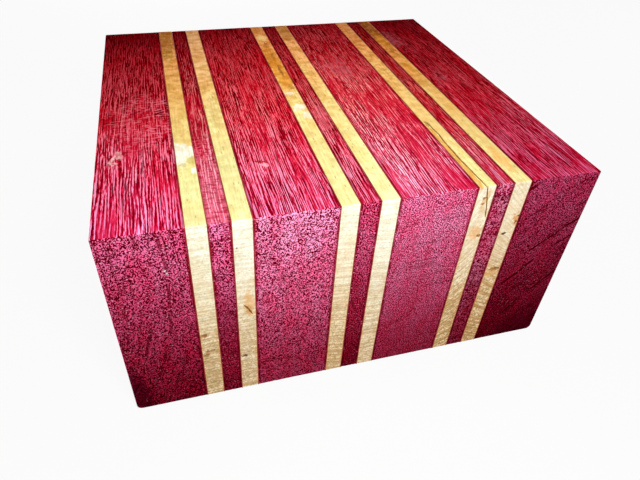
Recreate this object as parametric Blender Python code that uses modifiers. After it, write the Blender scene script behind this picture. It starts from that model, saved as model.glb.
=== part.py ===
"""A laminated wood turning blank: thirteen purpleheart and maple boards glued side by side.

The boards stand on edge across X, with their grain along Y, and they are all sawn to one
length and one height after the glue has set. The origin is at the middle of the underside.
"""

import bpy
from mathutils import Vector

# Driving dimensions, in metres.
BLOCK_LENGTH = 0.1450  # along the grain, from end grain to end grain
BLOCK_HEIGHT = 0.0762

LEFT_OUTER_BOARD = 0.0234
LEFT_INNER_BOARD = 0.0245
RIGHT_INNER_BOARD = 0.0248
RIGHT_OUTER_BOARD = 0.0251
MAPLE_STRIP = 0.0055
PURPLEHEART_STRIP = 0.0060
GLUE_LINE = 0.0003  # between neighbouring boards, left open for the glue

ARRIS_RADIUS = 0.0004  # sharp sawn edges, only just broken
FOOT_RADIUS = 0.0020  # the two long lower edges, which are rounder
ROUND_SEGMENTS = 4

PURPLEHEART = "purpleheart"
MAPLE = "maple"

# The boards from left to right: name, wood, and thickness across the block.
LAY_UP = (
    ("outer_board_left", PURPLEHEART, LEFT_OUTER_BOARD),
    ("maple_strip_1", MAPLE, MAPLE_STRIP),
    ("purpleheart_strip_left", PURPLEHEART, PURPLEHEART_STRIP),
    ("maple_strip_2", MAPLE, MAPLE_STRIP),
    ("inner_board_left", PURPLEHEART, LEFT_INNER_BOARD),
    ("maple_strip_3", MAPLE, MAPLE_STRIP),
    ("purpleheart_strip_middle", PURPLEHEART, PURPLEHEART_STRIP),
    ("maple_strip_4", MAPLE, MAPLE_STRIP),
    ("inner_board_right", PURPLEHEART, RIGHT_INNER_BOARD),
    ("maple_strip_5", MAPLE, MAPLE_STRIP),
    ("purpleheart_strip_right", PURPLEHEART, PURPLEHEART_STRIP),
    ("maple_strip_6", MAPLE, MAPLE_STRIP),
    ("outer_board_right", PURPLEHEART, RIGHT_OUTER_BOARD),
)


def clear_scene():
    for old in list(bpy.data.objects):
        bpy.data.objects.remove(old)


def wood_material(name, colour, roughness):
    material = bpy.data.materials.new(name)
    material.use_nodes = True
    shader = material.node_tree.nodes["Principled BSDF"]
    shader.inputs["Base Color"].default_value = (*colour, 1.0)
    shader.inputs["Roughness"].default_value = roughness
    shader.inputs["Metallic"].default_value = 0.0
    return material


def block_width():
    boards = sum(thickness for _, _, thickness in LAY_UP)
    return boards + GLUE_LINE * (len(LAY_UP) - 1)


def arris_weights(mesh, size, side):
    """Marks the edges that lie on the outside of the block, with a share of FOOT_RADIUS each.

    side is -1 on the left outer board, 1 on the right one and 0 on a board between others,
    whose long edges are glued and so stay square. The middle of a box edge is at zero along
    the edge and at half the box's size across it, which tells on which two faces it lies.
    """
    weights = mesh.attributes.new("bevel_weight_edge", "FLOAT", "EDGE")
    half = Vector(size) / 2
    for edge in mesh.edges:
        middle = (mesh.vertices[edge.vertices[0]].co + mesh.vertices[edge.vertices[1]].co) / 2
        on_end = abs(middle.y) > half.y / 2
        on_face = abs(middle.z) > half.z / 2
        on_side = side * middle.x > half.x / 2
        if on_side and on_face and middle.z < 0:
            weights.data[edge.index].value = 1.0
        elif (on_end and on_face) or (on_side and (on_end or on_face)):
            weights.data[edge.index].value = ARRIS_RADIUS / FOOT_RADIUS


def make_board(name, material, thickness, centre_x, side, collection):
    size = (thickness, BLOCK_LENGTH, BLOCK_HEIGHT)
    bpy.ops.mesh.primitive_cube_add(size=1.0, location=(centre_x, 0.0, BLOCK_HEIGHT / 2))
    board = bpy.context.active_object
    board.name = name
    board.data.name = name
    board.scale = size
    bpy.ops.object.transform_apply(location=False, rotation=False, scale=True)

    arris_weights(board.data, size, side)
    arris = board.modifiers.new("Eased edges", "BEVEL")
    arris.limit_method = "WEIGHT"
    arris.width = FOOT_RADIUS
    arris.segments = ROUND_SEGMENTS
    board.data.shade_smooth()
    board.data.set_sharp_from_angle(angle=0.6)

    board.data.materials.append(material)
    for other in list(board.users_collection):
        other.objects.unlink(board)
    collection.objects.link(board)
    return board


def build():
    clear_scene()
    blank = bpy.data.collections.new("Laminated turning blank")
    bpy.context.scene.collection.children.link(blank)
    woods = {
        PURPLEHEART: wood_material(PURPLEHEART, (0.36, 0.02, 0.07), 0.6),
        MAPLE: wood_material(MAPLE, (0.80, 0.56, 0.25), 0.55),
    }

    left = -block_width() / 2
    last = len(LAY_UP) - 1
    for index, (name, wood, thickness) in enumerate(LAY_UP):
        side = {0: -1, last: 1}.get(index, 0)
        make_board(name, woods[wood], thickness, left + thickness / 2, side, blank)
        left += thickness + GLUE_LINE


build()
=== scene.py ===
"""A laminated wood turning blank: purpleheart boards and maple strips glued side by side.

Lengths in the boards' tables, marks and patterns are millimetres, and all others are metres.
The origin is at the middle of the underside, and the grain runs along Y.
"""

import math
import random

import bmesh
import bpy
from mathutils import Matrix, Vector


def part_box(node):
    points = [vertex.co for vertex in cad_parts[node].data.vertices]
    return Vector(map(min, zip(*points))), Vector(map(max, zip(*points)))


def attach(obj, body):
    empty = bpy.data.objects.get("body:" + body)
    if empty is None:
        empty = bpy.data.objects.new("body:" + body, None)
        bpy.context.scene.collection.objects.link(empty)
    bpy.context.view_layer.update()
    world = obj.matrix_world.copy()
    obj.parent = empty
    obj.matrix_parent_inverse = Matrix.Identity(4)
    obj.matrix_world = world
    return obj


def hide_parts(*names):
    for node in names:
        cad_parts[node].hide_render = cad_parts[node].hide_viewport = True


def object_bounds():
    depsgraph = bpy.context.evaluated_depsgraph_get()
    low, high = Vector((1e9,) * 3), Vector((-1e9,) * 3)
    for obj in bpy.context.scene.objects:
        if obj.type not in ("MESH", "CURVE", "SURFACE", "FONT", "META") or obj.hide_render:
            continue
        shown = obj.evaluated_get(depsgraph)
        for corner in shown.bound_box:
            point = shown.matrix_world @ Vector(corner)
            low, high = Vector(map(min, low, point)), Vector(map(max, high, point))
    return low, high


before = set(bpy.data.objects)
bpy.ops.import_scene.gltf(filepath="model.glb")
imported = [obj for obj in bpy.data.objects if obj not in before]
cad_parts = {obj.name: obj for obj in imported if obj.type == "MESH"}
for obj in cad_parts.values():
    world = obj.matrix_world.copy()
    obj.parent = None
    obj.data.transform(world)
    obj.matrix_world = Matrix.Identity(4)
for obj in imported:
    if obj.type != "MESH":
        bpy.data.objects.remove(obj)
cad_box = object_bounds()

# The stand
# The block lies on a pale matt table under an even white sky. One soft lamp hangs close above
# its near edge and a weak one right over it, and three stand low round its other sides.
MM = 0.001
CAMERA_PLACE = (-0.05198, -0.18019, 0.16466)
CAMERA_TURN = (51.53, -2.254, -15.073)  # degrees about X, Y and Z
CAMERA_LENS = 29.53
CAMERA_SHIFT = (0.01757, -0.04159)
CAMERA_NEAREST = 0.01
TABLE_SIZE = 3.0
TABLE_COLOUR = (0.70, 0.70, 0.70)
TABLE_WHITE = 0.93  # how much of the table's picture is plain white
SKY_STRENGTH = 0.17
WHITE = (1.0, 1.0, 1.0)
BLOCK_MIDDLE = (0.0, 0.0, 0.035)

LAMPS = (
    # name, place, target, width, watts
    ("lamp_near", (-0.010, -0.200, 0.205), (0.0, -0.05, 0.06), 0.06, 0.445),
    ("lamp_over", (-0.005, 0.018, 0.170), (-0.005, 0.018, 0.0762), 0.09, 0.056),
    ("lamp_left", (-0.62, 0.02, 0.055), BLOCK_MIDDLE, 0.10, 2.0),
    ("lamp_right", (0.62, 0.02, 0.055), BLOCK_MIDDLE, 0.10, 2.0),
    ("lamp_behind", (0.02, 0.62, 0.055), BLOCK_MIDDLE, 0.10, 2.0),
)


class Nodes:
    """A node tree being written. Each call adds one node and gives back its output."""

    def __init__(self, tree):
        self.tree = tree

    def put(self, kind, sockets=None, output=0, **settings):
        """sockets maps the number or name of an input to another output or to a value.

        A colour is three numbers, which become a solid colour here.
        """
        node = self.tree.nodes.new(kind)
        for name, value in settings.items():
            setattr(node, name, value)
        for key, value in (sockets or {}).items():
            socket = node.inputs[key]
            if isinstance(value, bpy.types.NodeSocket):
                self.tree.links.new(value, socket)
            elif socket.type == "RGBA":
                socket.default_value = (*value, 1.0)
            else:
                socket.default_value = value
        return node.outputs[output]

    def math(self, operation, *values):
        return self.put("ShaderNodeMath", dict(enumerate(values)), operation=operation)

    def surface(self, shader):
        self.put_last("ShaderNodeOutputMaterial", "Surface", shader)

    def put_last(self, kind, socket, value):
        self.tree.links.new(value, self.tree.nodes.new(kind).inputs[socket])

    def seen_white(self):
        """1 for what the camera sees, straight, mirrored or through glass, and 0 for other light."""
        path = self.tree.nodes.new("ShaderNodeLightPath").outputs
        seen = self.math("MAXIMUM", path["Is Camera Ray"], path["Is Glossy Ray"])
        return self.math("MAXIMUM", seen, path["Is Transmission Ray"])


def new_material(name):
    material = bpy.data.materials.new(name)
    material.use_nodes = True
    material.node_tree.nodes.clear()
    return material, Nodes(material.node_tree)


def make_camera():
    lens = bpy.data.cameras.new("camera")
    lens.lens = CAMERA_LENS
    lens.shift_x, lens.shift_y = CAMERA_SHIFT
    lens.clip_start = CAMERA_NEAREST
    camera = bpy.data.objects.new("camera", lens)
    camera.location = CAMERA_PLACE
    camera.rotation_euler = [math.radians(angle) for angle in CAMERA_TURN]
    bpy.context.scene.collection.objects.link(camera)
    bpy.context.scene.camera = camera


def make_table():
    bpy.ops.mesh.primitive_plane_add(size=TABLE_SIZE)
    table = bpy.context.active_object
    table.name = "table_top"
    material, nodes = new_material("matt white table")
    paint = nodes.put("ShaderNodeBsdfDiffuse", {"Color": TABLE_COLOUR})
    glow = nodes.put("ShaderNodeEmission", {"Color": WHITE, "Strength": 1.0})
    share = nodes.math("MULTIPLY", nodes.seen_white(), TABLE_WHITE)
    nodes.surface(nodes.put("ShaderNodeMixShader", {0: share, 1: paint, 2: glow}))
    table.data.materials.append(material)


def make_sky():
    sky = bpy.data.worlds.new("white sky")
    sky.use_nodes = True
    sky.node_tree.nodes.clear()
    nodes = Nodes(sky.node_tree)
    dim = nodes.put("ShaderNodeBackground", {"Color": WHITE, "Strength": SKY_STRENGTH})
    white = nodes.put("ShaderNodeBackground", {"Color": WHITE, "Strength": 1.0})
    shown = nodes.put("ShaderNodeMixShader", {0: nodes.seen_white(), 1: dim, 2: white})
    nodes.put_last("ShaderNodeOutputWorld", "Surface", shown)
    bpy.context.scene.world = sky


def make_lamp(name, place, target, width, watts):
    light = bpy.data.lights.new(name, "AREA")
    light.shape = "DISK"
    light.size = width
    light.energy = watts
    lamp = bpy.data.objects.new(name, light)
    lamp.location = place
    lamp.rotation_euler = (Vector(target) - Vector(place)).to_track_quat("-Z", "Y").to_euler()
    lamp.visible_camera = False
    bpy.context.scene.collection.objects.link(lamp)


bpy.context.scene.view_settings.view_transform = "Standard"
make_camera()
make_table()
make_sky()
for lamp in LAMPS:
    make_lamp(*lamp)

# The wide purpleheart boards
# Four heartwood boards about an inch thick, sawn with the grain along the block. Their tops show
# long pores and pale threads, and their ends the same pores cut across. Planed, then glued.
CROSS_STEP = 0.4 * MM
LENGTH_STEP = 1.0 * MM
ARRIS = 0.4 * MM
ARRIS_ROWS = 3
FOOT = 2.0 * MM
SHARP_ANGLE = math.radians(40.0)
SAME_PLACE = 1e-6
WOOD_GLOSS = 0.0
BLOCK_LENGTH = round((cad_box[1][1] - cad_box[0][1]) / MM, 1)  # millimetres, as in the tables
BLOCK_HEIGHT = round((cad_box[1][2] - cad_box[0][2]) / MM, 1)
HALF = (0.5, 0.5, 0.5)
CORE_SHARE = 0.55  # how much of a stain's reach is its middle
PORE_EDGE = 0.06

# Tool marks: the size of their lumps along X, Y and Z, and how deep they are.
WAVE_LUMP = (12.0, 30.0, 12.0)
WAVE_DEPTH = 0.06
FIBRE_LUMP = (1.6, 18.0, 1.6)
FIBRE_DEPTH = 0.04
NICK_LUMP = (1.3, 2.2, 1.3)
NICK_DEPTH = 0.9  # 0.29 of that on an arris and 0.42 at a corner
SAW_DEPTH = 0.03
SAW_PITCH = 1.9
SAW_LEAN = 0.12

BOARD_INPUTS = {
    "NodeSocketVector": ("Low corner", "High corner", "Log"),
    "NodeSocketFloat": (
        "Cross step", "Length step", "Arris", "Left side open", "Right side open", "Foot radius",
        "Top set down", "Ends set back",
    ),
    "NodeSocketMaterial": ("Wood",),
}


class Grain(Nodes):
    """A node tree that works in points and vectors, for the cut of a board or for its wood."""

    def together(self, operation, first, *others):
        for other in others:
            first = self.math(operation, first, other)
        return first

    def sum(self, *values):
        return self.together("ADD", *values)

    def product(self, *values):
        return self.together("MULTIPLY", *values)

    def highest(self, *values):
        return self.together("MAXIMUM", *values)

    def less(self, first, second):
        return self.math("SUBTRACT", first, second)

    def linear(self, value, rise, start):
        """start, and rise more for each unit of the value."""
        return self.math("MULTIPLY_ADD", value, rise, start)

    def wave(self, value, pitch):
        """A sine between 0 and 1."""
        turn = self.math("SINE", self.product(value, math.tau / pitch))
        return self.linear(turn, 0.5, 0.5)

    def vector(self, operation, *values):
        output = 1 if operation == "LENGTH" else 0
        return self.put("ShaderNodeVectorMath", dict(enumerate(values)), output, operation=operation)

    def plus(self, first, second):
        return self.vector("ADD", first, second)

    def minus(self, first, second):
        return self.vector("SUBTRACT", first, second)

    def scaled(self, vector, scale):
        return self.put("ShaderNodeVectorMath", {0: vector, "Scale": scale}, operation="SCALE")

    def split(self, vector):
        node = self.tree.nodes.new("ShaderNodeSeparateXYZ")
        self.tree.links.new(vector, node.inputs[0])
        return tuple(node.outputs)

    def joined(self, x, y, z=0.0):
        return self.put("ShaderNodeCombineXYZ", {0: x, 1: y, 2: z})

    def in_block(self):
        """Where a point lies in the block, in millimetres."""
        return self.scaled(self.put("ShaderNodeTexCoord", output="Object"), 1.0 / MM)

    def cloud(self, place, lump, detail=1.0, output=0):
        """Noise in lumps of the given size along each axis."""
        spot = self.vector("DIVIDE", place, lump)
        return self.put("ShaderNodeTexNoise", {"Vector": spot, "Scale": 1.0, "Detail": detail}, output)

    def step(self, value, low, high, to_low=0.0, to_high=1.0):
        """A smooth step, to_low up to low and to_high from high on."""
        ends = {"From Min": low, "From Max": high, "To Min": to_low, "To Max": to_high}
        return self.put("ShaderNodeMapRange", {"Value": value, **ends}, interpolation_type="SMOOTHSTEP")

    def near(self, place, middle, reach, fray=0.0):
        """1 in the middle of an egg-shaped place, 0 outside its reach. fray roughens its edge."""
        away = self.vector("DIVIDE", self.minus(place, middle), reach)
        return self.step(self.sum(self.vector("LENGTH", away), fray), CORE_SHARE, 1.0, 1.0, 0.0)

    def blend(self, share, first, second, blend_type="MIX"):
        sockets = {0: share, 6: first, 7: second}
        return self.put("ShaderNodeMix", sockets, 2, data_type="RGBA", blend_type=blend_type)

    def tinted(self, colour, tint):
        return self.blend(1.0, colour, tint, "MULTIPLY")

    def ramp(self, value, *stops):
        """Colours at values, evenly mixed between."""
        node = self.tree.nodes.new("ShaderNodeValToRGB")
        self.tree.links.new(value, node.inputs[0])
        elements = node.color_ramp.elements
        while len(elements) < len(stops):
            elements.new(1.0)
        for element, (position, colour) in zip(elements, stops):
            element.position = position
            element.color = (*colour, 1.0)
        return node.outputs[0]

    def finish(self, colour, roughness, height, depth, gloss=WOOD_GLOSS):
        """The surface. Its relief is as deep as depth says, in metres, where height is 1."""
        bump = self.put("ShaderNodeBump", {"Strength": 1.0, "Distance": depth, "Height": height})
        look = {"Base Color": colour, "Roughness": roughness, "Normal": bump}
        look["Specular IOR Level"] = gloss
        self.surface(self.put("ShaderNodeBsdfPrincipled", look))


def rows_of_faces(grain, given):
    """A unit cube with the board's rows of faces, where its points lie in the board, and its core.

    The rows are even, but for ARRIS_ROWS narrow ones at every open edge. The core is the board
    without its arrises, and each point has the place in the core that is nearest to it.
    """
    low, high = given["Low corner"], given["High corner"]
    size = grain.minus(high, low)
    steps = grain.joined(given["Cross step"], given["Length step"], given["Cross step"])
    even_rows = grain.vector("CEIL", grain.vector("DIVIDE", size, steps))
    left_rows = grain.product(given["Left side open"], ARRIS_ROWS)
    right_rows = grain.product(given["Right side open"], ARRIS_ROWS)
    low_rows = grain.joined(left_rows, ARRIS_ROWS, ARRIS_ROWS)
    high_rows = grain.joined(right_rows, ARRIS_ROWS, ARRIS_ROWS)
    rows = grain.plus(even_rows, grain.plus(low_rows, high_rows))
    counts = [grain.sum(part, 1.0) for part in grain.split(rows)]
    points = dict(zip(("Vertices X", "Vertices Y", "Vertices Z"), counts))
    cube = grain.put("GeometryNodeMeshCube", {"Size": (1.0, 1.0, 1.0), **points})

    share = grain.plus(grain.put("GeometryNodeInputPosition"), HALF)
    row = grain.vector("MULTIPLY", share, rows)
    narrow = grain.math("DIVIDE", given["Arris"], ARRIS_ROWS)
    low_edge = grain.scaled(low_rows, narrow)
    high_edge = grain.scaled(high_rows, narrow)
    even_part = grain.minus(size, grain.plus(low_edge, high_edge))
    pitch = grain.vector("DIVIDE", even_part, even_rows)
    nothing = (0.0, 0.0, 0.0)
    past_low = grain.vector("MAXIMUM", grain.minus(row, low_rows), nothing)
    past_even = grain.vector("MAXIMUM", grain.minus(past_low, even_rows), nothing)
    in_low = grain.scaled(grain.vector("MINIMUM", row, low_rows), narrow)
    in_even = grain.vector("MULTIPLY", grain.vector("MINIMUM", past_low, even_rows), pitch)
    in_high = grain.scaled(past_even, narrow)
    laid = grain.plus(low, grain.plus(in_low, grain.plus(in_even, in_high)))

    core_low = grain.plus(low, low_edge)
    core_high = grain.minus(high, high_edge)
    core = grain.vector("MAXIMUM", grain.vector("MINIMUM", laid, core_high), core_low)
    return cube, laid, core


def rounded_foot(grain, given, place):
    """Moves a point at the lower edge of an open side in to the rounder arris there.

    In radii from the middle of the round, a point at (across, down) in the corner square moves
    in to the quarter circle.
    """
    radius = given["Foot radius"]
    side = grain.less(given["Right side open"], given["Left side open"])
    x, y, z = grain.split(place)
    low_x, _, low_z = grain.split(given["Low corner"])
    high_x, _, _ = grain.split(given["High corner"])
    open_x = grain.highest(grain.product(high_x, side), grain.product(low_x, side))
    middle_x = grain.less(open_x, radius)
    middle_z = grain.sum(low_z, radius)
    across = grain.math("DIVIDE", grain.less(grain.product(x, side), middle_x), radius)
    down = grain.math("DIVIDE", grain.less(middle_z, z), radius)
    furthest = grain.highest(across, down, 0.0)
    distance = grain.highest(grain.vector("LENGTH", grain.joined(across, down)), 0.001)
    shrink = grain.math("DIVIDE", furthest, distance)
    beyond_x = grain.math("GREATER_THAN", across, 0.0)
    beyond_z = grain.math("GREATER_THAN", down, 0.0)
    at_foot = grain.product(beyond_x, beyond_z, grain.math("ABSOLUTE", side))
    foot_x = grain.product(side, grain.sum(grain.product(across, shrink, radius), middle_x))
    foot_z = grain.less(middle_z, grain.product(down, shrink, radius))
    rounded = grain.joined(foot_x, y, foot_z)
    return grain.put("ShaderNodeMix", {0: at_foot, 4: place, 5: rounded}, 1, data_type="VECTOR")


def tool_marks(grain, given, place, outward):
    """How deep the tools cut in at a point, how far it is on an end, and the saw's lines there."""
    spot = grain.plus(grain.scaled(place, 1.0 / MM), given["Log"])
    spot_x, _, spot_z = grain.split(spot)
    face_x, face_y, face_z = grain.split(grain.vector("ABSOLUTE", outward))
    _, _, upward = grain.split(outward)
    waves = grain.product(grain.cloud(spot, WAVE_LUMP), WAVE_DEPTH)
    fibres = grain.product(grain.cloud(spot, FIBRE_LUMP), FIBRE_DEPTH)
    stroke = grain.wave(grain.sum(spot_z, grain.product(spot_x, SAW_LEAN)), SAW_PITCH)
    sawn = grain.product(stroke, face_y)
    straightest = grain.highest(face_x, face_y, face_z)
    edge = grain.less(1.0, straightest)
    nicked = grain.step(grain.cloud(spot, NICK_LUMP, 3.0), 0.58, 0.75)
    nicks = grain.product(edge, nicked, NICK_DEPTH)
    marks = grain.sum(waves, fibres, grain.product(sawn, SAW_DEPTH), nicks)
    depth = grain.sum(
        grain.product(marks, MM),
        grain.product(given["Top set down"], grain.highest(upward, 0.0)),
        grain.product(given["Ends set back"], face_y),
    )
    return depth, face_y, sawn


def sawn_board_tree():
    """A box with fine rows of faces, rounded where it is open, and marked by the tools.

    It starts as a unit cube with the right number of rows, which are laid out to the sizes.
    A point within an arris of an open edge moves onto the round. Last, every point sinks
    along its outward direction by the depth of the marks there.
    """
    tree = bpy.data.node_groups.new("Sawn board", "GeometryNodeTree")
    for kind, names in BOARD_INPUTS.items():
        for name in names:
            tree.interface.new_socket(name, in_out="INPUT", socket_type=kind)
    tree.interface.new_socket("Board", in_out="OUTPUT", socket_type="NodeSocketGeometry")
    grain = Grain(tree)
    given = tree.nodes.new("NodeGroupInput").outputs
    board, laid, core = rows_of_faces(grain, given)
    outward = grain.vector("NORMALIZE", grain.minus(laid, core))
    eased = grain.plus(core, grain.scaled(outward, given["Arris"]))
    shaped = rounded_foot(grain, given, eased)
    depth, end_grain, sawn = tool_marks(grain, given, shaped, outward)
    cut = grain.minus(shaped, grain.scaled(outward, depth))

    # What the wood's pattern needs is worked out from the cube's rows, so it is stored before
    # the points move.
    for name, value in (("end_grain", end_grain), ("sawn", sawn)):
        kept = {"Geometry": board, "Name": name, "Value": value}
        board = grain.put("GeometryNodeStoreNamedAttribute", kept, data_type="FLOAT", domain="POINT")
    board = grain.put("GeometryNodeSetPosition", {"Geometry": board, "Position": cut})
    board = grain.put("GeometryNodeSetShadeSmooth", {"Geometry": board})
    board = grain.put("GeometryNodeRealizeInstances", {"Geometry": board})
    board = grain.put("GeometryNodeSetMaterial", {"Geometry": board, "Material": given["Wood"]})
    grain.put_last("NodeGroupOutput", "Board", board)
    return tree


SAWN_BOARD = sawn_board_tree()


def made_by(tree, name, values):
    """A plain mesh object from a tree, whose inputs are set by name."""
    piece = bpy.data.objects.new(name, bpy.data.meshes.new("blank"))
    bpy.context.scene.collection.objects.link(piece)
    maker = piece.modifiers.new(name, "NODES")
    maker.node_group = tree
    for item in tree.interface.items_tree:
        if item.in_out == "INPUT":
            maker[item.identifier] = values[item.name]
    evaluated = piece.evaluated_get(bpy.context.evaluated_depsgraph_get())
    mesh = bpy.data.meshes.new_from_object(evaluated)
    mesh.name = name
    piece.modifiers.clear()
    piece.data = mesh
    return piece


def lies_at(face, x):
    return all(abs(corner.co.x - x) < SAME_PLACE for corner in face.verts)


def close_glued_sides(mesh, glued):
    """The faces on a glued side, which never show, become one face."""
    work = bmesh.new()
    work.from_mesh(mesh)
    for x in glued:
        hidden = [face for face in work.faces if lies_at(face, x)]
        bmesh.ops.delete(work, geom=hidden, context="FACES")
    bmesh.ops.holes_fill(work, edges=[edge for edge in work.edges if edge.is_boundary], sides=0)
    bmesh.ops.recalc_face_normals(work, faces=work.faces)
    work.to_mesh(mesh)
    work.free()


def sawn_piece(name, corners, steps, arris, sunk, log, material, open_sides=(False, False)):
    """A piece of the Sawn board tree between two corners, with its glued sides closed.

    steps are the widths of its rows of faces, across the block and along it. sunk is how far
    its top is set down and its ends are set back. log is where in the log it grew.
    """
    low, high = corners
    values = {
        "Low corner": tuple(low),
        "High corner": tuple(high),
        "Cross step": steps[0],
        "Length step": steps[1],
        "Arris": arris,
        "Left side open": float(open_sides[0]),
        "Right side open": float(open_sides[1]),
        "Foot radius": FOOT,
        "Top set down": sunk[0],
        "Ends set back": sunk[1],
        "Log": log,
        "Wood": material,
    }
    piece = made_by(SAWN_BOARD, name, values)
    glued = [x for x, is_open in zip((low[0], high[0]), open_sides) if not is_open]
    close_glued_sides(piece.data, glued)
    return piece


def make_board(node, wood, log, set_down, set_back, open_sides=(False, False)):
    """One board, in its CAD node's place."""
    steps = (CROSS_STEP, LENGTH_STEP)
    sunk = (set_down * MM, set_back * MM)
    board = sawn_piece(node + "_wood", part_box(node), steps, ARRIS, sunk, log, wood, open_sides)
    board.data.set_sharp_from_angle(angle=SHARP_ANGLE)
    return board


DRIFT_LUMP = (9.0, 60.0, 9.0)
DRIFT_REACH = (1.5, 0.0, 1.5)
RING_SWAY = 2.0


class Wood(Grain):
    """The pattern of one board: where a point lies in the log, and which way its face looks.

    log is where in its log the board grew, tilt how far its grain leans, in degrees, and pith
    the middle of its growth rings, as (x, z).
    """

    def __init__(self, tree, log, tilt, pith):
        super().__init__(tree)
        self.here = self.in_block()
        self.x, self.y, self.z = self.split(self.here)
        self.along = self.linear(self.y, 1.0 / BLOCK_LENGTH, 0.5)
        self.up = self.product(self.z, 1.0 / BLOCK_HEIGHT)
        self.end = self.kept("end_grain")
        self.not_end = self.less(1.0, self.end)
        in_log = self.plus(self.here, log)
        lean = {"Vector": in_log, "Rotation": (0.0, 0.0, math.radians(tilt))}
        straight = self.put("ShaderNodeMapping", lean)
        drift = self.cloud(straight, DRIFT_LUMP, output=1)
        self.drift = self.minus(drift, HALF)
        self.place = self.plus(straight, self.vector("MULTIPLY", self.drift, DRIFT_REACH))
        ring_x = self.less(self.x, pith[0])
        ring_z = self.less(self.z, pith[1])
        radius = self.vector("LENGTH", self.joined(ring_x, ring_z))
        sway, _, _ = self.split(self.drift)
        self.ring = self.linear(sway, RING_SWAY, radius)

    def kept(self, name):
        """A value that the Sawn board tree stored on the mesh."""
        return self.put("ShaderNodeAttribute", output=2, attribute_name=name, attribute_type="GEOMETRY")

    def by_face(self, long, end):
        """One value along the faces and another on the ends."""
        return self.put("ShaderNodeMix", {0: self.end, 2: long, 3: end})

    def figure(self, lump, detail=1.0):
        """Noise that follows the grain, in lumps of the given size."""
        return self.cloud(self.place, lump, detail)

    def years(self, width):
        """Growth rings, as noise that hardly changes along the grain or round the pith."""
        return self.cloud(self.joined(self.ring, self.product(self.y, 0.03)), (width, 1.0, 1.0), 2.0)

    def pores(self, place, width, length, thin, thick):
        """1 inside long cells along the grain, each with its own thickness, and 0 between."""
        spot = self.vector("DIVIDE", place, (width, length, width))
        cell = self.put("ShaderNodeTexVoronoi", {"Vector": spot, "Scale": 1.0}).node.outputs
        luck, _, _ = self.split(cell["Color"])
        radius = self.linear(luck, thick - thin, thin)
        return self.step(self.less(radius, cell["Distance"]), -PORE_EDGE, PORE_EDGE)

    def stained(self, colour, stains_and_shade):
        """Lays ragged stains over a colour, each given as middle, reach, colour and strength; some
        purpleheart entries are patches of painted shade instead.
        """
        ragged = self.cloud(self.here, (0.9, 1.6, 0.9), 2.0, output=1)
        shift = self.vector("MULTIPLY", self.minus(ragged, HALF), (1.6, 3.0, 1.6))
        spread = self.plus(self.plus(self.here, shift), self.scaled(self.drift, 3.0))
        uneven = self.step(self.figure((0.8, 2.4, 0.8), 3.0), 0.36, 0.60, 0.7, 1.0)
        fray = self.linear(self.cloud(self.here, (1.2, 2.6, 1.2), 4.0), 1.5, -0.75)
        for middle, reach, tint, strength in stains_and_shade:
            share = self.product(self.near(spread, middle, reach, fray), uneven, strength)
            colour = self.blend(share, colour, tint)
        return colour


PURPLE_LONG = (  # colours of the fibres on a long face, from the deepest to the palest
    (0.36, (0.18, 0.0005, 0.008)),
    (0.455, (0.57, 0.006, 0.036)),
    (0.54, (0.80, 0.042, 0.122)),
    (0.65, (0.99, 0.430, 0.610)),
)
PURPLE_END = (  # and on an end
    (0.41, (0.11, 0.0004, 0.008)),
    (0.48, (0.44, 0.0045, 0.046)),
    (0.53, (0.82, 0.045, 0.175)),
    (0.62, (0.99, 0.310, 0.540)),
)
PURPLE_ALONG = (  # how the wood reddens from the near end of the block to the far one, partly its own colour and partly painted light, pale near the near end and painted shade toward the far one
    (0.00, (0.93, 0.80, 1.00)),
    (0.22, (1.00, 0.74, 0.74)),
    (0.40, (0.94, 0.50, 0.40)),
    (0.60, (0.74, 0.235, 0.20)),
    (0.78, (0.62, 0.135, 0.12)),
    (1.00, (0.36, 0.045, 0.05)),
)
# the painted light level of the far end
FAR_END_PAINTED_LIGHT = 0.72
PURPLE_RELIEF = 0.08 * MM
HARSH_LONG = (1.2, 0.75)  # how the contrast rises along the block, and where it starts
HARSH_END = (-1.9, 4.15)  # and up an end
DEEP_GREEN = 2.7  # powers of the painted light by which green and blue fall in painted shade
DEEP_BLUE = 2.2
PALE_GREEN = 1.6  # and those of the pale threads
PALE_BLUE = 1.5
# pale threads: partly pale fibres in the wood, partly painted glints on them
PALE_THREAD_AND_GLINT = (0.99, 0.42, 0.62)
PALE_SHIFT = (50.0, 50.0, 50.0)  # keeps the pale threads off the dark pores
# open pores: partly their own dark colour, partly painted shade in them
PORE_COLOUR_AND_SHADE = (0.12, 0.001, 0.008)
SOAKED = (0.20, 0.001, 0.010)
GROWTH_LINE = (0.16, 0.0005, 0.008)
CHATTER_PALE = (0.86, 0.20, 0.27)
CHATTER_DARK = (0.42, 0.004, 0.022)


def glue_soaked(wood, node):
    """How much glue has soaked into the wood, which it did beside the board's glued sides."""
    (low_x, _, _), (high_x, _, _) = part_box(node)
    outer_x = cad_box[1][0]
    soaked = 0.0
    for side in (low_x, high_x):
        if abs(side) < outer_x - MM:
            off_side = wood.math("ABSOLUTE", wood.sum(wood.x, -side / MM))
            soaked = wood.highest(soaked, wood.step(off_side, 0.2, 1.0, 1.0, 0.0))
    uneven = wood.step(wood.cloud(wood.here, (2.0, 9.0, 4.0), 2.0), 0.32, 0.56, 0.3, 0.9)
    return wood.product(soaked, uneven)


def chattered(wood, colour, patch, node):
    """Lays short ripples across the grain over a colour, where the planer shook."""
    ripple = wood.cloud(wood.here, (2.4, 0.8, 2.4), 2.0)
    pale_ripple = wood.step(ripple, 0.36, 0.47, 1.0, 0.0)
    dark_ripple = wood.step(ripple, 0.54, 0.62)
    ragged = wood.sum(wood.product(patch, 0.8), -0.4)
    for middle, reach, pale_share, dark_share in CHATTER.get(node, ()):
        shaken = wood.product(wood.near(wood.here, middle, reach, ragged), wood.not_end)
        colour = wood.blend(wood.product(shaken, pale_ripple, pale_share), colour, CHATTER_PALE)
        colour = wood.blend(wood.product(shaken, dark_ripple, dark_share), colour, CHATTER_DARK)
    return colour


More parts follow.
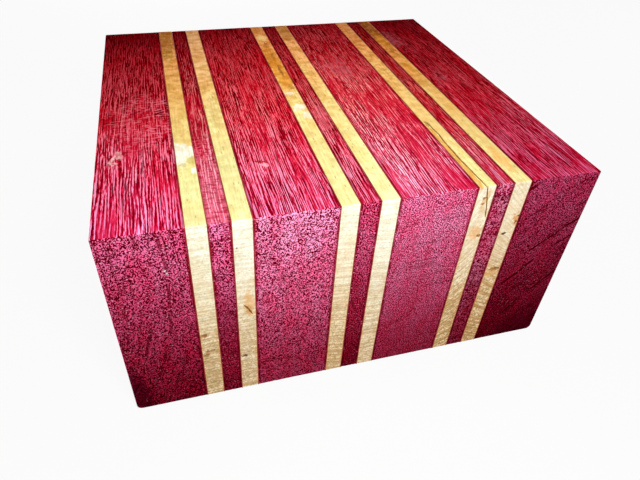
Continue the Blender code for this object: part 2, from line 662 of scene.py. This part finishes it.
def purpleheart(node, log, pith, tilt, shows, tones_and_painted_light, tint):
    """The wood of one purpleheart board.

    shows is how clearly the growth rings, the fibres cut across, the fibres along the faces and
    the long threads show, and last how coarse the cut fibres are and how wide the lines along
    the faces. The four levels after it are how light the faces are at their near and far end, and
    the near end at its top and its foot; they are partly each board's own tone and partly painted
    light, which fades toward the far end and down to the foot. Where that painted shade darkens
    the wood, it is also painted a deeper red. tint is how much green and blue the wood has beside
    others along its faces, and then on its ends.
    """
    material, nodes = new_material("purpleheart of " + node)
    wood = Wood(nodes.tree, log, tilt, pith)
    rings, cut, fine, long, coarse, wide = shows
    near, far, top, foot = tones_and_painted_light
    long_green, long_blue, end_green, end_blue = tint

    # The fibres, as one level that the colours follow.
    strand = wood.figure((0.30 * wide, 8.0, 0.34 * wide))
    bead = wood.figure((0.32 * wide, 2.0, 0.34 * wide))
    long_fibre = wood.linear(wood.less(bead, strand), 0.4, strand)
    cut_fibre = wood.figure((0.41 * coarse, 10.0, 0.44 * coarse))
    fibre = wood.by_face(long_fibre, cut_fibre)
    patch = wood.figure((6.0, 25.0, 6.0), 2.0)
    calm = wood.step(patch, 0.36, 0.62, 0.55, 1.45)
    long_harsh = wood.linear(wood.along, *HARSH_LONG)
    end_harsh = wood.linear(wood.up, *HARSH_END)
    clear = wood.by_face(fine, cut)
    swing = wood.product(wood.sum(fibre, -0.5), calm, wood.by_face(long_harsh, end_harsh), clear)
    across, _, up = wood.split(wood.place)
    wobble = wood.figure((2.2, 22.0, 2.2))
    comb = wood.wave(wood.sum(across, up, wood.product(wobble, 2.2)), 0.92 * wide)
    combed = wood.product(wood.sum(wood.product(comb, comb), -0.375), wood.not_end, calm, fine, 0.17)
    thread = wood.product(wood.sum(wood.figure((0.55, 16.0, 0.55)), -0.5), long)
    years = wood.years(3.2)
    ring_tone = wood.linear(wood.end, 0.20, 0.15)
    grown = wood.product(wood.sum(years, -0.5), rings, ring_tone)
    level = wood.sum(swing, combed, thread, grown, 0.5)
    base = wood.blend(wood.end, wood.ramp(level, *PURPLE_LONG), wood.ramp(level, *PURPLE_END))

    # Thin growth lines on the ends, a dark seam beside the glue, and dark pores, partly their own colour
    # and partly painted shade in the open pores.
    off_line = wood.math("ABSOLUTE", wood.sum(years, -0.47))
    fading = wood.step(wood.figure((9.0, 40.0, 9.0)), 0.40, 0.58)
    line = wood.product(wood.step(off_line, 0.010, 0.030, 1.0, 0.0), fading, wood.end, rings)
    lined = wood.blend(line, base, GROWTH_LINE)
    lined = wood.blend(glue_soaked(wood, node), lined, SOAKED)
    dark_pore = wood.pores(wood.place, 0.95, 22.0, 0.04, 0.26)
    pored = wood.blend(wood.product(dark_pore, clear, 0.7), lined, PORE_COLOUR_AND_SHADE)

    # Painted light: how light the place is painted, along the faces and up the near end, and how purple.
    long_painted_light = wood.linear(wood.along, far - near, near)
    near_end_painted_light = wood.step(wood.z, -8.0, 84.0, foot, top)
    is_far = wood.math("GREATER_THAN", wood.y, 0.0)
    end_painted_light = wood.put("ShaderNodeMix", {0: is_far, 2: near_end_painted_light, 3: FAR_END_PAINTED_LIGHT})
    light = wood.by_face(long_painted_light, end_painted_light)
    green = wood.by_face(long_green, end_green)
    blue = wood.by_face(long_blue, end_blue)
    purpler = wood.step(wood.cloud(wood.here, (3.5, 30.0, 14.0), 2.0), 0.38, 0.62, 0.74, 1.20)
    green = wood.product(wood.math("POWER", light, DEEP_GREEN), green, purpler)
    blue = wood.product(wood.math("POWER", light, DEEP_BLUE), blue, wood.math("POWER", purpler, 0.7))
    reddening_and_painted_shade = wood.blend(wood.end, wood.ramp(wood.along, *PURPLE_ALONG), WHITE)
    toned = wood.tinted(wood.tinted(pored, reddening_and_painted_shade), wood.joined(light, green, blue))

    # Pale threads, partly pale fibres of the wood and partly painted glints on them, keep more of their
    # green and blue in painted shade, and marks come last.
    green = wood.math("POWER", light, PALE_GREEN)
    blue = wood.math("POWER", light, PALE_BLUE)
    pale_and_glint = wood.tinted(wood.tinted(PALE_THREAD_AND_GLINT, reddening_and_painted_shade), wood.joined(light, green, blue))
    pale_and_glint_pore = wood.pores(wood.plus(wood.place, PALE_SHIFT), 1.05, 34.0, 0.04, 0.25)
    toned = wood.blend(wood.product(pale_and_glint_pore, clear, 0.5), toned, pale_and_glint)
    toned = wood.stained(toned, PURPLE_STAINS_AND_SHADE.get(node, ()))
    toned = chattered(wood, toned, patch, node)

    height = wood.less(wood.product(fibre, 0.8), dark_pore)
    roughness = wood.linear(dark_pore, 0.15, 0.78)
    wood.finish(toned, roughness, height, PURPLE_RELIEF)
    return material


def fit(board, node):
    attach(board, "root")
    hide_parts(node)


# Splits, chips and pits are real hollows, V-shaped in section.
CUT_STEP = 0.9
CUT_CLEARANCE = 0.3  # how far a cutter stands out of the wood
CUT_WANDER = 0.12  # how far it strays to either side, as a share of its width
CUT_WIDTHS = (0.75, 1.2)  # shares of the given width, and of the depth
CUT_DEPTHS = (0.8, 1.1)
CUT_FADE = 2.0  # how many steps it takes to reach its full size
CUT_START = 0.4  # where in these steps its tip is
WALL_RELIEF = 0.05 * MM


def on_top(x, y, above=0.0):
    """A place on the top, or some way above it."""
    return (x, y, BLOCK_HEIGHT + above)


def on_end(x, z):
    """A place on the near end."""
    return (x, -BLOCK_LENGTH / 2, z)


FACES = {
    # name: the way it looks, and what gives the place of a point on it
    "top": (Vector((0.0, 0.0, 1.0)), on_top),
    "near end": (Vector((0.0, -1.0, 0.0)), on_end),
}


def hollow_cutter(face, points, width, depth, seed):
    """A closed V-shaped wedge along the points, which wanders a little and fades at its ends."""
    wander = random.Random(seed)
    facing, on_face = FACES[face]
    bends = [Vector(on_face(*point)) for point in points]
    path = []
    for start, stop in zip(bends, bends[1:]):
        count = max(1, round((stop - start).length / CUT_STEP))
        path += [start.lerp(stop, step / count) for step in range(count)]
    path.append(bends[-1])
    work = bmesh.new()
    sections = []
    for index, point in enumerate(path):
        ahead = path[min(index + 1, len(path) - 1)] - path[max(index - 1, 0)]
        across = ahead.normalized().cross(facing)
        from_start = index + CUT_START
        from_end = len(path) - (1.0 - CUT_START) - index
        fade = min(1.0, from_start / CUT_FADE, from_end / CUT_FADE)
        half = width / 2 * fade * wander.uniform(*CUT_WIDTHS)
        deep = depth * fade * wander.uniform(*CUT_DEPTHS)
        middle = point + across * wander.uniform(-CUT_WANDER, CUT_WANDER) * width
        flare = half * (1.0 + CUT_CLEARANCE / deep)
        corners = (
            middle + across * flare + facing * CUT_CLEARANCE,
            middle - across * flare + facing * CUT_CLEARANCE,
            middle - facing * deep,
        )
        sections.append([work.verts.new(corner * MM) for corner in corners])
    for first, second in zip(sections, sections[1:]):
        for side in range(3):
            after = (side + 1) % 3
            work.faces.new((first[side], first[after], second[after], second[side]))
    work.faces.new(sections[0])
    work.faces.new(reversed(sections[-1]))
    bmesh.ops.recalc_face_normals(work, faces=work.faces)
    mesh = bpy.data.meshes.new("cutter")
    work.to_mesh(mesh)
    work.free()
    return bpy.data.objects.new("cutter", mesh)


def cut_hollows(board, hollows, walls):
    """Cuts the hollows out of a board one by one. Their walls take their own material."""
    for seed, (face, points, width, depth) in enumerate(hollows):
        cutter = hollow_cutter(face, points, width, depth, seed)
        cutter.data.materials.append(walls)
        bpy.context.scene.collection.objects.link(cutter)
        cut = board.modifiers.new("hollow", "BOOLEAN")
        cut.object = cutter
        cut.operation = "DIFFERENCE"
        cut.solver = "EXACT"
        cut.material_mode = "TRANSFER"
        evaluated = board.evaluated_get(bpy.context.evaluated_depsgraph_get())
        mesh = bpy.data.meshes.new_from_object(evaluated)
        board.modifiers.clear()
        board.data = mesh
        bpy.data.objects.remove(cutter)
    board.data.name = board.name
    board.data.set_sharp_from_angle(angle=SHARP_ANGLE)


def stained_walls(name, dark, light):
    """The inside of a hollow, darker in some places than others."""
    material, nodes = new_material(name)
    grain = Grain(nodes.tree)
    patch = grain.cloud(grain.in_block(), (0.8, 2.0, 0.8), 2.0)
    colour = grain.ramp(patch, (0.35, dark), (0.65, light))
    grain.finish(colour, 0.85, patch, WALL_RELIEF)
    return material


WIDE_BOARDS = (
    # node, log, pith, tilt, shows, tones and painted light, tint, set down, set back
    (
        "outer_board_left", (0, 0, 0), (-190, 60), 0.3,
        (0.8, 1.85, 1.15, 0.2, 0.96, 0.95), (1.15, 0.70, 0.95, 0.28), (0.83, 0.91, 0.60, 0.75), 0.03, 0.05,
    ),
    (
        "inner_board_left", (210, 40, 90), (-30, 190), -0.4,
        (0.4, 1.12, 1.15, 0.4, 0.84, 0.75), (1.02, 0.90, 1.20, 0.51), (0.94, 0.94, 0.78, 0.86), 0.0, 0.02,
    ),
    (
        "inner_board_right", (430, 90, 10), (30, -120), 0.4,
        (0.4, 1.05, 0.9, 0.3, 0.84, 0.82), (1.05, 1.06, 1.14, 0.45), (1.38, 1.18, 0.80, 0.88), 0.05, 0.0,
    ),
    (
        "outer_board_right", (660, 15, 160), (150, -50), -0.3,
        (1.2, 1.5, 1.25, 0.4, 0.95, 0.85), (0.80, 0.82, 0.59, 0.18), (0.73, 0.82, 0.88, 1.02), 0.02, 0.04,
    ),
)
WIDE_HOLLOWS = {
    # node: (face, points along it, width, depth)
    "outer_board_left": (
        (
            "top",
            (
                (-68.7, -30.8), (-69.3, -31.9), (-69.9, -33.4), (-70.7, -35.0),
                (-71.4, -36.4), (-71.9, -37.4), (-71.0, -38.1), (-69.9, -38.0),
            ),
            1.5,
            0.4,
        ),
        ("near end", ((-60.2, 62.0), (-59.7, 61.7), (-59.1, 61.3)), 0.9, 0.3),
    ),
    "inner_board_left": (
        ("top", ((-28.5, -46.6), (-27.4, -46.7), (-26.2, -46.5)), 0.7, 0.4),
    ),
    "inner_board_right": (
        ("near end", ((29.5, 62.3), (30.2, 62.7), (31.0, 63.2)), 0.8, 0.3),
    ),
}
TORN_EDGE = (0.28, 0.001, 0.008)
PALE_CHIP = (0.99, 0.80, 0.88)
PURPLE_STAINS_AND_SHADE = {
    # node: middle, reach, colour and strength; the two near-black patches low on the outer boards' near
    # ends are painted shade
    "outer_board_left": (
        (on_top(-69.6, -33.6), (1.5, 3.2, 1.0), (0.99, 0.55, 0.52), 0.8),
        (on_top(-71.0, -37.9), (1.9, 1.1, 1.0), (0.99, 0.62, 0.58), 0.8),
        (on_top(-68.1, -32.4), (0.6, 2.6, 1.0), TORN_EDGE, 1.0),
        (on_top(-71.6, -34.8), (0.7, 2.4, 1.0), TORN_EDGE, 1.0),
        (on_top(-69.5, -36.2), (0.6, 1.4, 1.0), TORN_EDGE, 0.9),
        # painted shade, darkening the lower outer corner of the near end
        (on_end(-76.2, 6.0), (7.0, 30.0, 22.0), (0.035, 0.0, 0.004), 0.75),
        (on_end(-59.7, 61.9), (0.8, 1.0, 0.5), PALE_CHIP, 0.9),
        (on_end(-59.0, 60.7), (0.5, 1.0, 0.6), PALE_CHIP, 0.8),
    ),
    "purpleheart_strip_left": (
        (on_top(-43.7, -55.0, 1.0), (9.0, 30.0, 1.9), (0.92, 0.20, 0.28), 0.5),
        (on_top(-43.7, -22.0), (6.0, 11.0, 3.0), (0.44, 0.008, 0.02), 0.5),
        (on_end(-43.7, 34.0), (5.0, 3.0, 24.0), (0.16, 0.0005, 0.01), 0.4),
    ),
    "purpleheart_strip_middle": (
        (on_top(-0.5, -20.0, 1.0), (5.0, 15.0, 1.9), (0.82, 0.15, 0.19), 0.45),
    ),
    "inner_board_left": (
        (on_top(-27.4, -45.8), (2.2, 0.8, 1.0), (0.30, 0.01, 0.01), 1.0),
        (on_top(-27.2, -47.6), (2.4, 0.7, 1.0), (0.99, 0.42, 0.50), 0.9),
    ),
    "inner_board_right": (
        (on_end(30.2, 62.8), (1.0, 1.0, 0.5), (0.99, 0.75, 0.80), 0.9),
        (on_top(18.5, 19.0, 1.0), (8.0, 18.0, 1.9), (0.62, 0.16, 0.19), 0.45),
    ),
    "outer_board_right": (
        (on_top(54.0, 44.0, 1.0), (6.0, 16.0, 1.9), (0.42, 0.11, 0.13), 0.5),
        (on_top(56.5, 3.5, 1.0), (5.5, 10.0, 1.9), (0.55, 0.16, 0.19), 0.4),
        # painted shade, darkening the lower outer part of the near end
        (on_end(74.0, 0.0), (22.0, 30.0, 16.0), (0.045, 0.0, 0.006), 0.6),
    ),
}
CHATTER = {
    # node: middle, reach, and how strong the pale and the dark ripples are
    "outer_board_left": (
        (on_top(-60.5, -12.0), (15.0, 24.0, 6.0), 0.5, 0.35),
        (on_top(-55.5, -12.0), (6.0, 20.0, 6.0), 0.5, 0.0),
    ),
    "purpleheart_strip_left": (
        (on_top(-43.7, -56.0), (9.0, 34.0, 6.0), 0.45, 0.65),
    ),
}

torn_heartwood = stained_walls("torn fibres in purpleheart", (0.55, 0.08, 0.12), (0.99, 0.50, 0.52))
for node, log, pith, tilt, shows, tones_and_painted_light, tint, set_down, set_back in WIDE_BOARDS:
    wood = purpleheart(node, log, pith, tilt, shows, tones_and_painted_light, tint)
    open_sides = (node == "outer_board_left", node == "outer_board_right")
    board = make_board(node, wood, log, set_down, set_back, open_sides)
    cut_hollows(board, WIDE_HOLLOWS.get(node, ()), torn_heartwood)
    fit(board, node)

# The narrow purpleheart strips
# Three strips of the same heartwood, a quarter inch thick, one between each pair of maple
# strips. They come from the edge of a plank, so their growth lines lean and their tones differ.
NARROW_STRIPS = (
    # node, log, pith, tilt, shows, tones and painted light, tint, set down, set back
    (
        "purpleheart_strip_left", (120, 30, 300), (-60, 150), 0.2,
        (0.5, 1.9, 1.0, 0.3, 1.05, 0.9), (1.10, 0.66, 1.08, 0.29), (1.56, 1.27, 0.62, 0.78), 0.06, 0.03,
    ),
    (
        "purpleheart_strip_middle", (340, 70, 350), (90, 60), 0.4,
        (0.6, 2.5, 1.3, 0.7, 1.05, 0.85), (0.92, 0.80, 0.90, 0.25), (1.15, 1.0, 0.62, 0.75), 0.02, 0.06,
    ),
    (
        "purpleheart_strip_right", (560, 10, 400), (20, 200), -0.3,
        (0.5, 0.45, 1.1, 0.3, 0.9, 0.85), (0.88, 0.88, 0.80, 0.34), (1.34, 0.92, 1.7, 1.35), 0.05, 0.02,
    ),
)

for node, log, pith, tilt, shows, tones_and_painted_light, tint, set_down, set_back in NARROW_STRIPS:
    wood = purpleheart(node, log, pith, tilt, shows, tones_and_painted_light, tint)
    board = make_board(node, wood, log, set_down, set_back)
    fit(board, node)

# The maple strips
# Six strips of hard maple a little under a quarter inch thick, pale and close grained. They have
# honey-coloured lengths, small brown knots, and one has split along its corner.
MAPLE_ALONG = (  # how the wood yellows from the near end of the block to the far one, partly its own colour and partly painted light, pale near the near end and darker toward the far one
    (0.00, (0.90, 0.88, 0.42)),
    (0.22, (0.93, 0.86, 0.36)),
    (0.40, (0.94, 0.70, 0.25)),
    (0.60, (0.95, 0.56, 0.18)),
    (0.78, (0.93, 0.41, 0.13)),
    (1.00, (0.80, 0.30, 0.10)),
)
MAPLE_UP = (  # and how it pales from the foot of the near end to its top, partly its own colour and partly painted light, which brightens it toward the top
    (0.00, (0.99, 0.80, 0.53)),
    (0.50, (0.99, 0.88, 0.64)),
    (1.00, (0.97, 1.00, 0.84)),
)
MAPLE_FAR_END = (0.88, 0.66, 0.36)
MAPLE_CLOUD = (0.58, 0.42, 0.18)
MAPLE_SIDE = (0.96, 0.52, 0.20)
MAPLE_RING = (0.60, 0.33, 0.11)
MAPLE_SPECK = (0.48, 0.23, 0.05)
MAPLE_GRIT = (0.34, 0.26, 0.09)
MAPLE_FLECK = (0.36, 0.20, 0.06)
MAPLE_RELIEF = 0.04 * MM
MAPLE_DEEPER = (0.5, 0.8, 1.5)  # powers of the shade for red, green and blue

# Stains: middle, reach, colour and strength.
HONEY = (0.80, 0.36, 0.04)
BROWN = (0.34, 0.13, 0.03)
PALE = (0.98, 0.98, 0.88)
OLIVE = (0.72, 0.56, 0.16)
MAPLE_STAINS = {
    "maple_strip_1": (
        (on_top(-50.0, 44.0), (2.6, 9.0, 6.0), (0.62, 0.34, 0.06), 0.7),
        (on_top(-50.4, 39.0), (1.2, 1.4, 3.0), (0.99, 0.72, 0.40), 0.6),
        (on_top(-49.9, 23.0), (2.4, 1.0, 1.0), BROWN, 0.8),
        (on_top(-51.6, -36.4), (2.9, 9.0, 3.0), PALE, 0.9),
        (on_top(-48.6, -35.6), (2.6, 5.0, 3.0), PALE, 0.9),
        (on_top(-50.0, 8.0), (4.5, 38.0, 6.0), (0.86, 0.44, 0.12), 0.5),
        (on_top(-48.4, -40.8), (1.9, 2.8, 2.0), OLIVE, 0.9),
        (on_top(-51.0, -43.0), (1.5, 1.3, 2.0), OLIVE, 0.7),
        (on_top(-47.6, -46.2), (1.8, 2.4, 2.0), PALE, 1.2),
        (on_top(-50.0, 62.0), (4.5, 22.0, 6.0), (0.40, 0.14, 0.02), 0.8),
        (on_end(-51.1, 31.7), (0.9, 2.0, 0.9), BROWN, 1.0),
        (on_end(-50.2, 24.5), (2.2, 2.0, 0.7), BROWN, 0.9),
        (on_end(-51.3, 22.5), (1.0, 2.0, 1.0), BROWN, 0.9),
        (on_end(-50.0, 12.0), (3.0, 3.0, 9.0), (0.60, 0.40, 0.20), 0.4),
    ),
    "maple_strip_2": (
        (on_top(-38.0, 48.0), (5.0, 50.0, 6.0), (0.96, 0.58, 0.26), 0.55),
        (on_end(-36.8, 43.0), (2.2, 4.0, 7.0), (0.84, 0.46, 0.16), 0.8),
        (on_end(-37.0, 40.6), (1.5, 3.0, 2.4), (0.50, 0.20, 0.05), 0.5),
        (on_end(-39.2, 18.0), (1.6, 2.0, 0.8), (0.16, 0.008, 0.008), 1.3),
        (on_end(-39.9, 66.9), (0.55, 1.5, 0.4), (0.14, 0.05, 0.02), 1.1),
    ),
    "maple_strip_3": (
        (on_top(-7.0, 17.0), (4.6, 20.0, 9.0), (0.76, 0.30, 0.03), 0.9),
        (on_top(-7.0, 34.0), (4.6, 18.0, 9.0), (0.62, 0.22, 0.02), 0.9),
        (on_top(-6.9, 50.6), (0.9, 1.6, 1.5), BROWN, 1.0),
        (on_top(-7.0, 46.6), (3.2, 1.2, 1.5), BROWN, 0.6),
        (on_top(-6.8, 20.0), (0.9, 7.0, 2.0), BROWN, 1.0),
        (on_top(-6.4, 36.0), (1.2, 6.0, 2.0), BROWN, 0.6),
        (on_top(-7.2, 57.0), (3.0, 5.0, 3.0), (0.90, 0.66, 0.26), 0.6),
        (on_top(-5.8, 4.0), (1.6, 2.4, 2.0), BROWN, 0.5),
        (on_top(-7.6, -1.5), (2.4, 1.6, 3.0), PALE, 0.7),
        (on_top(-7.0, -13.0), (3.2, 3.0, 3.0), PALE, 0.8),
        (on_top(-5.8, -19.5), (2.2, 3.4, 3.0), PALE, 0.8),
    ),
    "maple_strip_4": (
        (on_top(5.0, 64.0), (4.5, 18.0, 6.0), (0.42, 0.16, 0.03), 0.7),
    ),
    "maple_strip_5": (
        (on_top(36.5, -28.0), (4.0, 30.0, 4.0), (0.95, 0.58, 0.20), 0.6),
        (on_top(33.9, -54.0), (1.3, 26.0, 3.0), HONEY, 0.8),
        (on_top(34.4, -34.0), (1.0, 2.4, 2.0), BROWN, 0.7),
        (on_end(36.1, 57.6), (2.2, 2.5, 3.8), (0.86, 0.46, 0.16), 0.7),
        (on_end(36.5, 70.5), (1.3, 2.5, 6.5), (0.72, 0.40, 0.12), 0.55),
        (on_end(37.4, 56.4), (0.9, 1.5, 0.9), BROWN, 1.1),
        (on_end(35.6, 71.9), (0.8, 1.2, 0.8), BROWN, 0.9),
        (on_end(36.2, 69.4), (0.7, 1.2, 0.7), BROWN, 0.9),
    ),
    "maple_strip_6": (
        (on_top(48.0, 60.0), (4.5, 34.0, 6.0), (0.27, 0.075, 0.012), 0.95),
        (on_top(48.0, 45.5), (2.6, 11.0, 5.0), HONEY, 0.75),
        (on_top(48.0, 20.0), (4.5, 46.0, 5.0), (0.80, 0.32, 0.05), 0.4),
        (on_top(47.6, 15.0), (2.4, 6.0, 4.0), HONEY, 0.75),
        (on_top(48.0, -32.0), (4.0, 30.0, 5.0), (0.96, 0.60, 0.20), 0.5),
        (on_top(47.6, -60.0), (2.2, 9.0, 4.0), (0.98, 0.55, 0.16), 0.75),
        (on_end(50.2, 61.7), (1.7, 2.5, 3.4), (0.80, 0.32, 0.06), 0.85),
        (on_end(50.8, 63.0), (0.9, 1.2, 1.1), (0.10, 0.03, 0.01), 1.1),
        (on_end(50.2, 60.2), (0.8, 1.2, 0.9), (0.16, 0.05, 0.01), 1.0),
        (on_end(47.0, 56.0), (1.3, 1.5, 0.5), (0.05, 0.02, 0.01), 1.2),
        (on_end(48.4, 39.4), (2.8, 2.0, 1.0), BROWN, 1.1),
        (on_end(47.6, 37.5), (2.6, 2.0, 2.6), (0.88, 0.48, 0.14), 0.5),
    ),
}


def maple(node, log, pith, tilt, tone, mottling):
    """The wood of one maple strip.

    tone multiplies its colours, and mottling is how cloudy the foot of its ends is.
    """
    material, nodes = new_material("maple of " + node)
    wood = Wood(nodes.tree, log, tilt, pith)
    (low_x, _, _), (high_x, _, _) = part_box(node)
    fibre = wood.figure((0.6, 14.0, 0.6), 2.0)
    curl = wood.figure((3.5, 3.0, 3.5), 3.0)
    mottle = wood.figure((1.6, 9.0, 1.6), 2.0)

    # The plain wood, along the faces and up the near end. Its paling toward the near end and toward the
    # top of it is partly painted light.
    shift = wood.product(wood.sum(wood.figure((6.0, 18.0, 6.0)), -0.5), 0.5)
    long_colour_and_painted_light = wood.ramp(wood.sum(wood.along, shift), *MAPLE_ALONG)
    near_end_colour_and_painted_light = wood.ramp(wood.sum(wood.up, shift), *MAPLE_UP)
    end_base = wood.blend(wood.math("GREATER_THAN", wood.y, 0.0), near_end_colour_and_painted_light, MAPLE_FAR_END)
    base = wood.blend(wood.end, long_colour_and_painted_light, end_base)

    # Low on the ends it is cloudy, and more orange beside the glue. Thin rings show everywhere.
    low_end = wood.product(wood.end, wood.step(wood.z, 10.0, 62.0, 1.0, 0.12), mottling)
    cloudy = wood.product(wood.step(mottle, 0.48, 0.58), low_end, 0.75)
    mottled = wood.blend(cloudy, base, MAPLE_CLOUD)
    off_middle = wood.math("ABSOLUTE", wood.sum(wood.x, -(low_x + high_x) / 2 / MM))
    half_width = (high_x - low_x) / 2 / MM
    at_side = wood.step(off_middle, half_width - 1.0, half_width - 0.3)
    sided = wood.product(at_side, wood.step(mottle, 0.40, 0.58, 0.4, 1.0), low_end, 0.85)
    mottled = wood.blend(sided, mottled, MAPLE_SIDE)
    off_ring = wood.math("ABSOLUTE", wood.sum(wood.years(1.6), -0.5))
    ring_shows = wood.linear(low_end, 0.75, 0.15)
    ring = wood.product(wood.step(off_ring, 0.02, 0.08, 1.0, 0.0), ring_shows)
    ringed = wood.blend(ring, mottled, MAPLE_RING)

    # Specks, more of them along the far faces, grit low on the ends, short flecks and stains.
    far_long = wood.product(wood.step(wood.along, 0.2, 0.7), wood.not_end)
    speck = wood.step(wood.figure((0.7, 3.2, 0.7), 4.0), 0.51, 0.63)
    specked = wood.product(speck, wood.linear(far_long, 0.30, 0.12))
    speckled = wood.blend(specked, ringed, MAPLE_SPECK)
    grit = wood.step(wood.figure((0.62, 6.0, 0.62), 2.0), 0.51, 0.58)
    speckled = wood.blend(wood.product(grit, low_end, 0.75), speckled, MAPLE_GRIT)
    fleck = wood.pores(wood.place, 0.8, 4.0, 0.0, 0.20)
    flecked = wood.blend(wood.product(fleck, 0.60), speckled, MAPLE_FLECK)
    flecked = wood.stained(flecked, MAPLE_STAINS[node])

    # Fibres, curl and saw lines shade it, and a darker place is also a deeper yellow.
    fibre_shade = wood.step(fibre, 0.30, 0.70, 0.88, 1.06)
    dark_curl = wood.linear(far_long, -0.26, 0.90)
    pale_curl = wood.linear(far_long, 0.10, 1.07)
    curl_shade = wood.step(curl, 0.35, 0.65, dark_curl, pale_curl)
    saw_shade = wood.linear(wood.product(wood.kept("sawn"), curl), -0.14, 1.08)
    shade = wood.product(fibre_shade, curl_shade, saw_shade)
    red, green, blue = (wood.math("POWER", shade, power) for power in MAPLE_DEEPER)
    toned = wood.tinted(wood.tinted(flecked, wood.joined(red, green, blue)), tone)

    height = wood.less(wood.product(fibre, 0.5), fleck)
    roughness = wood.linear(fibre, 0.2, 0.6)
    wood.finish(toned, roughness, height, MAPLE_RELIEF)
    return material


MAPLE_STRIPS = (
    # node, log, pith, tilt, tone, mottling, set down, set back
    ("maple_strip_1", (15, 220, 30), (-48, -30), 0.3, (1.0, 0.98, 0.92), 0.75, 0.0, 0.01),
    ("maple_strip_2", (35, 260, 70), (-40, -60), -0.3, (1.0, 1.0, 1.0), 0.65, 0.02, 0.0),
    ("maple_strip_3", (55, 300, 15), (-20, -50), 0.5, (1.0, 0.96, 0.90), 0.75, 0.01, 0.02),
    ("maple_strip_4", (75, 340, 55), (10, 130), -0.5, (1.0, 1.0, 1.0), 0.55, 0.03, 0.0),
    ("maple_strip_5", (95, 380, 95), (-20, 90), 0.3, (1.0, 0.93, 0.86), 1.0, 0.0, 0.02),
    ("maple_strip_6", (115, 420, 35), (100, 120), -0.3, (0.98, 0.87, 0.77), 1.0, 0.02, 0.01),
)

MAPLE_HOLLOWS = {
    # node: (face, points along it, width, depth)
    "maple_strip_2": (
        ("near end", ((-38.6, 43.2), (-37.7, 41.9), (-36.9, 40.6), (-35.9, 38.2)), 0.75, 0.6),
        ("near end", ((-40.1, 18.1), (-39.2, 18.0), (-38.2, 18.1)), 0.7, 0.5),
    ),
    "maple_strip_5": (
        (
            "top",
            (
                (33.5, -32.3), (34.3, -32.9), (34.8, -34.6), (34.9, -37.5), (35.1, -41.0),
                (34.7, -46.0), (34.7, -57.0), (35.0, -62.0), (35.2, -66.7), (35.5, -73.5),
            ),
            0.46,
            0.8,
        ),
        (
            "near end",
            ((35.6, 77.2), (35.9, 75.1), (36.7, 71.7), (37.5, 68.0), (38.0, 65.2), (38.3, 63.8)),
            0.46,
            0.7,
        ),
    ),
    "maple_strip_6": (
        ("near end", ((46.3, 55.8), (47.1, 55.9), (47.9, 56.5)), 0.5, 0.4),
    ),
}

dark_maple = stained_walls("dark bark in a maple knot", (0.10, 0.035, 0.01), (0.30, 0.12, 0.03))
split_maple = stained_walls("stained split in maple", (0.22, 0.08, 0.018), (0.52, 0.25, 0.07))
for node, log, pith, tilt, tone, mottling, set_down, set_back in MAPLE_STRIPS:
    wood = maple(node, log, pith, tilt, tone, mottling)
    board = make_board(node, wood, log, set_down, set_back)
    walls = dark_maple if node == "maple_strip_6" else split_maple
    cut_hollows(board, MAPLE_HOLLOWS.get(node, ()), walls)
    fit(board, node)

# The glue lines
# A film of brown wood glue between every two boards. It was squeezed thin in the clamps and cut
# through with the boards, and it has shrunk a little below their surface.
GLUE_STEPS = (0.8 * MM, 0.8 * MM)
GLUE_ARRIS = 0.1 * MM
GLUE_SUNK = (0.05 * MM, 0.05 * MM)
GLUE_RELIEF = 0.03 * MM
GLUE_GLOSS = 0.2
GLUE_SHIFT = 37.0  # keeps the patterns of the films apart


def brown_glue():
    material, nodes = new_material("dried glue")
    grain = Grain(nodes.tree)
    patch = grain.cloud(grain.in_block(), (2.0, 5.0, 3.0), 3.0)
    colour = grain.ramp(patch, (0.35, (0.20, 0.004, 0.008)), (0.65, (0.46, 0.040, 0.030)))
    grain.finish(colour, 0.55, patch, GLUE_RELIEF, GLUE_GLOSS)
    return material


glue = brown_glue()
boards = sorted(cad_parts, key=lambda node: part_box(node)[0][0])
for number, (left, right) in enumerate(zip(boards, boards[1:]), 1):
    (_, low_y, low_z), (left_x, high_y, high_z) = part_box(left)
    right_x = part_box(right)[0][0]
    corners = ((left_x, low_y, low_z), (right_x, high_y, high_z))
    log = (number * GLUE_SHIFT, 0.0, 0.0)
    film = sawn_piece("glue_line_" + str(number), corners, GLUE_STEPS, GLUE_ARRIS, GLUE_SUNK, log, glue)
    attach(film, "root")
